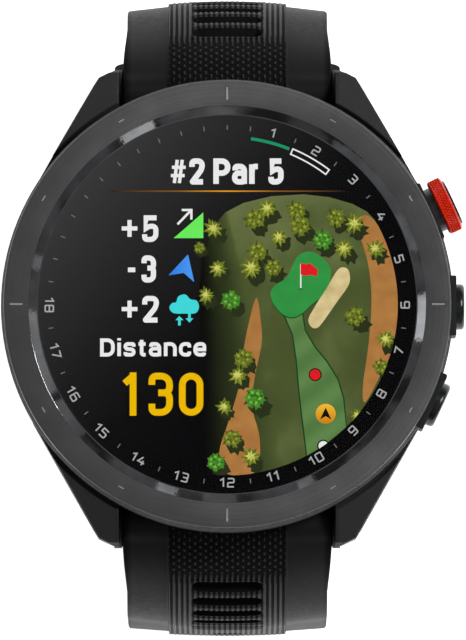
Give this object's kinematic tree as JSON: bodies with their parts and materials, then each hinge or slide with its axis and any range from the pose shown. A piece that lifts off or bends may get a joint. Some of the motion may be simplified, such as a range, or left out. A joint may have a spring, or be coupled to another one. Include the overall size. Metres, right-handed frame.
{
  "type": "golf gps watch",
  "caption": "Round sports watch with a course-map display, side buttons and a two-part rubber strap with a pin buckle, standing open on its strap",
  "frame": {"origin": "centre of the flat face of the rear sensor window, which rests on the wrist", "axes": "+Z out of the display, +Y to 12 o'clock along the strap, +X to 3 o'clock, where the buttons are"},
  "size_m": [0.0485, 0.0664, 0.0599],
  "materials": {
    "case_polymer": "fine satin, fibre-reinforced",
    "bezel_ceramic": "satin top, polished inner slope",
    "cover_glass": "polished sapphire-like glass",
    "dial_print": "printed black film",
    "display": "active display",
    "flex_film": "amber film",
    "chassis_metal": "plain",
    "antenna": "plated",
    "board": "solder mask",
    "chips": "tinned cans",
    "battery": "foil pouch",
    "motor_metal": "plain",
    "rotor_weight": "dense sintered weight",
    "sensor_parts": "moulded packages",
    "sensor_window": "dark polished window",
    "back_polymer": "satin",
    "steel": "plain",
    "spring_steel": "bright wire",
    "contacts": "gold plated",
    "socket_plastic": "plain",
    "button_black": "black anodised",
    "button_red": "red anodised, knurled",
    "button_steel": "dark coated",
    "bush_brass": "plain",
    "seal_rubber": "plain",
    "strap_rubber": "matte, ribbed band",
    "clip_plastic": "plain",
    "latch_plastic": "plain",
    "buckle_steel": "dark coated"
  },
  "bodies": {
    "case": {"antenna_ring": "antenna", "back_cover": "back_polymer", "back_screws": "steel", "back_seal": "seal_rubber", "battery": "battery", "battery_lead": "flex_film", "bezel_ring": "bezel_ceramic", "bezel_seal": "seal_rubber", "board_chips": "chips", "bottom_button_bush": "bush_brass", "bottom_button_seal": "seal_rubber", "bottom_button_spring": "spring_steel", "case_body": "case_polymer", "charge_pins": "contacts", "charge_socket": "socket_plastic", "cover_glass": "cover_glass", "dial_ring": "dial_print", "display_chassis": "chassis_metal", "display_flex": "flex_film", "display_panel": "display", "lower_lug_pin": "steel", "main_board": "board", "middle_button_bush": "bush_brass", "middle_button_seal": "seal_rubber", "middle_button_spring": "spring_steel", "motor_can": "motor_metal", "motor_shaft": "steel", "pressure_sensor": "chips", "sensor_board": "board", "sensor_leds": "sensor_parts", "sensor_window": "sensor_window", "side_flex": "flex_film", "side_switches": "chips", "top_button_bush": "bush_brass", "top_button_seal": "seal_rubber", "top_button_spring": "spring_steel", "upper_lug_pin": "steel"},
    "upper_strap": {"upper_strap": "strap_rubber", "upper_end_clip": "clip_plastic", "upper_latch_spring": "spring_steel", "fixed_keeper": "strap_rubber", "buckle_pin": "steel"},
    "lower_strap": {"lower_strap": "strap_rubber", "lower_end_clip": "clip_plastic", "lower_latch_spring": "spring_steel"},
    "upper_latch": {"upper_latch": "latch_plastic"},
    "lower_latch": {"lower_latch": "latch_plastic"},
    "sliding_keeper": {"sliding_keeper": "strap_rubber"},
    "buckle_frame": {"buckle_frame": "buckle_steel"},
    "buckle_tongue": {"buckle_tongue": "buckle_steel"},
    "motor_rotor": {"motor_rotor": "rotor_weight"},
    "top_button": {"top_button": "button_black", "top_button_clip": "spring_steel", "top_button_ring": "button_red"},
    "middle_button": {"middle_button": "button_steel", "middle_button_clip": "spring_steel"},
    "bottom_button": {"bottom_button": "button_steel", "bottom_button_clip": "spring_steel"}
  },
  "joints": [
    {"name": "upper_strap_swing", "type": "hinge", "parent": "case", "child": "upper_strap", "pos_m": [0, 0.0227, 0.0036], "axis": [1, 0, 0], "range_deg": [0, 25]},
    {"name": "lower_strap_swing", "type": "hinge", "parent": "case", "child": "lower_strap", "pos_m": [0, -0.0227, 0.0036], "axis": [-1, 0, 0], "range_deg": [0, 25]},
    {"name": "upper_latch_slide", "type": "slide", "parent": "upper_strap", "child": "upper_latch", "axis": [0, 0.866, -0.5], "range_m": [0, 0.0024], "stiffness_N_per_m": 200, "springref_m": -0.0006, "deforming": ["upper_latch_spring"]},
    {"name": "lower_latch_slide", "type": "slide", "parent": "lower_strap", "child": "lower_latch", "axis": [0, -0.866, -0.5], "range_m": [0, 0.0024], "stiffness_N_per_m": 200, "springref_m": -0.0006, "deforming": ["lower_latch_spring"]},
    {"name": "keeper_slide", "type": "hinge", "parent": "upper_strap", "child": "sliding_keeper", "pos_m": [0, 0.01592, -0.024], "axis": [1, 0, 0], "range_deg": [-5, 40]},
    {"name": "buckle_swing", "type": "hinge", "parent": "upper_strap", "child": "buckle_frame", "pos_m": [0, 0.01102, -0.0396], "axis": [1, 0, 0], "range_deg": [-60, 40]},
    {"name": "tongue_swing", "type": "hinge", "parent": "buckle_frame", "child": "buckle_tongue", "pos_m": [0, 0.01102, -0.0396], "axis": [1, 0, 0], "range_deg": [0, 40]},
    {"name": "motor_spin", "type": "hinge", "parent": "case", "child": "motor_rotor", "pos_m": [-0.0129, 0, 0.0048], "axis": [0, 0, 1], "continuous": true},
    {"name": "top_button_press", "type": "slide", "parent": "case", "child": "top_button", "axis": [-0.9063, -0.4226, 0], "range_m": [0, 0.0006], "stiffness_N_per_m": 2500, "springref_m": -0.0003, "deforming": ["top_button_spring"]},
    {"name": "middle_button_press", "type": "slide", "parent": "case", "child": "middle_button", "axis": [-1, 0, 0], "range_m": [0, 0.0006], "stiffness_N_per_m": 2500, "springref_m": -0.0003, "deforming": ["middle_button_spring"]},
    {"name": "bottom_button_press", "type": "slide", "parent": "case", "child": "bottom_button", "axis": [-0.9063, 0.4226, 0], "range_m": [0, 0.0006], "stiffness_N_per_m": 2500, "springref_m": -0.0003, "deforming": ["bottom_button_spring"]}
  ]
}
